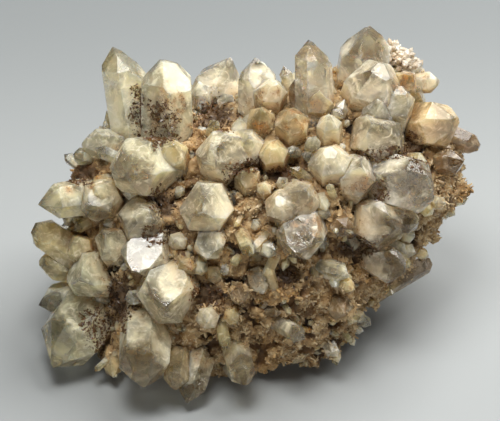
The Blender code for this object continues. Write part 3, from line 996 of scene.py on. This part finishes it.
print("middle-sized crystals:", sum(len(sites) for sites in medium.values()))

# %% [markdown]
# ### The crust of tiny crystals
#
# Tan splinters and grains cover the rock and the feet of the big crystals, dark
# brown grains lie in patches, a sugary crust sparkles at two edges, and a few
# stained points stand between them. Real grains are half clear, but light lost
# in thousands of clear grains renders slowly, so most have an opaque finish
# with a little light under the skin.

# %% The crusts' finishes


def crust_material(name, low, high, rust, haze):
    """Opaque, sparkling grains whose colour runs from low to high, darker on low rock as painted
    shade.
    """
    material, place = start_material(name)
    tint, height = (
        place.node("Attribute", {"attribute_name": name}, output="Fac")
        for name in ("facet", "height")
    )
    mottle = noise_of(place, 420, 4, 0.6).stretch(0.35, 0.68)
    # painted shade: grains on low rock take the low colour
    colour = blend_colours((tint * 0.4 + mottle * 0.3) + (height * 0.7 - 0.25), low, high)
    stained = blend_colours(noise_of(place, 75, 4).stretch(0.45, 0.68) * 0.7, colour, rust)
    bump = place.node("Bump", {}, {
        "Height": noise_of(place, 1500, 3), "Strength": 0.4, "Distance": 0.1 * MM})
    shader = place.node("BsdfPrincipled", {}, {
        "Base Color": stained, "Roughness": mottle * 0.35 + haze, "IOR": QUARTZ_IOR,
        "Subsurface Weight": 0.2, "Subsurface Radius": (1.0, 0.7, 0.4),
        "Subsurface Scale": 1.2 * MM, "Normal": bump,
    })
    end_material(shader)
    return material


sugar = crust_material(
    "sugar_crust", (0.48, 0.40, 0.30), (0.84, 0.77, 0.66), (0.62, 0.45, 0.27), 0.05)
tan_crust = crust_material(
    "tan_crust", (0.17, 0.092, 0.036), (0.86, 0.68, 0.41), (0.50, 0.28, 0.09), 0.25)
# dark grains for the dark patches, which between crystals also paint shade
dark_crust = crust_material(
    "dark_crust", (0.025, 0.014, 0.008), (0.16, 0.085, 0.035), (0.14, 0.055, 0.015), 0.2)
print("crust finishes:", ", ".join(finish.name for finish in (sugar, tan_crust, dark_crust)))

# %% [markdown]
# ### Spreading the crusts
#
# Which crust stands at a place depends on the patches there, torn by noise so
# that no border is straight, and on the height of the rock: a hollow holds only
# a few pale points. On the big crystals the crusts keep to the feet.

# %% Scatter the crusts
ROCK_TRIES, CRYSTAL_TRIES = 80000, 60000
SPECKLE = 5 * MM
TEAR = 2.2 * MM
LOW_EDGE = 0.8 * MM  # no grain stands lower than this
HOLLOW = 0.33  # rock lower than this share of its heights is a hollow
chance = random.Random(9)
crusts = {name: [] for name in (
    "tan_splinters", "tan_grains", "foot_grains", "dark_crust", "sugar_crust", "pale_crust")}


def add_crust(name, place, facing, share, widths, spread, kinds=shapes):
    """Perhaps stand one more small shape here, for the crust of this name."""
    if chance.random() < share:
        crusts[name] += make_sites([place], [facing], widths, spread, chance, kinds=kinds)


def spread_crusts(meshes, count, seed, on_rock):
    """Try this many places on the meshes, and stand what belongs there."""
    places, facings = scatter(meshes, count, seed, sort=not on_rock)
    notes = zip(
        places, facings, patchiness(places, BARE), patchiness(places, DARK_AND_SHADE),
        patchiness(places, SPARKLING), facings @ np.array(OUT),
    )
    for place, facing, bare, dark, sparkle, front in notes:
        if place[2] < LOW_EDGE or facing[2] < -0.9:
            continue
        speckle = noise.noise(Vector(place) / SPECKLE)
        torn = noise.noise(Vector(place) / TEAR)
        rise = rock_tree.find_nearest(Vector(place))[3] / MM
        # dark grains fill the dark patches, partly as painted shade between crystals
        if dark > 0.05 + speckle * 1.4 + torn * 0.8:
            add_crust("dark_crust", place, facing, 0.9, (0.5, 1.7), 0.9, grains)
        elif not on_rock:
            if rise < 1.8 + speckle * 5 + torn * 3:
                add_crust("foot_grains", place, facing, 0.4, (0.4, 1.3), 0.9, grains)
        elif sparkle > 0:
            for turn in range(2):
                add_crust("sugar_crust", place, facing, 0.6, (0.8, 2.6), 0.6)
        elif bare > -0.1 + speckle * 0.4 or front < 0.1:
            level = heights[height_tree.find(Vector(place))[1]]
            if level < HOLLOW:
                add_crust("pale_crust", place, facing, 0.03, (1.2, 3.4), 0.5)
            else:
                add_crust("tan_splinters", place, facing, 0.24, (0.4, 1.5), 1.2, splinters)
                add_crust("tan_grains", place, facing, 0.5, (0.5, 1.8), 1.0, grains)
        else:
            add_crust("tan_splinters", place, facing, 0.06, (0.4, 1.2), 1.0, splinters)
            add_crust("tan_grains", place, facing, 0.5, (0.5, 1.5), 1.0, grains)
            add_crust("pale_crust", place, facing, 0.02 + speckle * 0.08, (1.2, 3.0), 0.7)


spread_crusts([rock_mesh], ROCK_TRIES, 23, True)
spread_crusts(crystal_meshes, CRYSTAL_TRIES, 31, False)
for name, material, slot in (
    ("tan_splinters", tan_crust, "matrix_rock"),
    ("tan_grains", tan_crust, "matrix_rock"),
    ("foot_grains", tan_crust, "matrix_rock"),
    ("dark_crust", dark_crust, "matrix_rock"),
    ("sugar_crust", sugar, "milky_quartz"),
    ("pale_crust", quartz["stained_quartz"], "stained_quartz"),
):
    place_piece(name, join_sites(name, crusts[name], 3), material, slot)
print("tiny shapes in all:", sum(len(sites) for sites in crusts.values()))

# %% [markdown]
# ## Floor and light
#
# A plain pale floor whose colour darkens gently towards the back, as painted shade where less
# light reaches. Clear crystals look like what they reflect, so three soft square lights are
# placed for their facets: one overhead, one above and behind to the right, which makes the upper
# facets flash, and a weak one in front. A sky picture would light them too, but it would also
# show in every facet.

# %% Set the stage
FLOOR_FAR_SHADED = (0.24, 0.258, 0.267)
FLOOR_NEAR = (0.345, 0.365, 0.374)
WARM_WHITE = (1.0, 0.985, 0.95)
FLOOR_HALF = 3  # metres from the middle of the floor to its edge
floor_mesh = bpy.data.meshes.new("floor")
bm = bmesh.new()
bmesh.ops.create_grid(bm, x_segments=2, y_segments=2, size=FLOOR_HALF)
bm.to_mesh(floor_mesh)
bm.free()
floor_material, place = start_material("floor")
depth = place.node("SeparateXYZ", {}, {"Vector": place}, output="Y")
# painted shade: the floor's colour darkens towards the back
pale = blend_colours(depth.stretch(0.04, 0.2, 1.0, 0.0), FLOOR_FAR_SHADED, FLOOR_NEAR)
end_material(place.node("BsdfPrincipled", {}, {"Base Color": pale, "Roughness": 0.6}))
floor_mesh.materials.append(floor_material)
floor = bpy.data.objects.new("floor", floor_mesh)
bpy.context.scene.collection.objects.link(floor)


def add_light(name, place, size, power):
    """A square soft light that faces the specimen."""
    data = bpy.data.lights.new(name, "AREA")
    data.size = size
    data.energy = power
    data.color = WARM_WHITE
    light = bpy.data.objects.new(name, data)
    light.location = place
    light.rotation_euler = (Vector(place) - FACE_CENTRE).to_track_quat("Z", "Y").to_euler()
    bpy.context.scene.collection.objects.link(light)


add_light("overhead", (-0.1, -0.2, 1.1), 0.46, 9)
add_light("side", (0.42, 0.34, 0.88), 0.8, 14.5)
add_light("front", (0.0, -1.25, 0.36), 0.7, 2.6)
world = bpy.data.worlds.new("studio")
world.use_nodes = True
sky = world.node_tree.nodes["Background"]
sky.inputs["Color"].default_value = (0.97, 0.98, 1.0, 1)
sky.inputs["Strength"].default_value = 0.025
bpy.context.scene.world = world
bpy.context.scene.view_settings.view_transform = "Standard"
print("lights:", len(bpy.data.lights))

# %% [markdown]
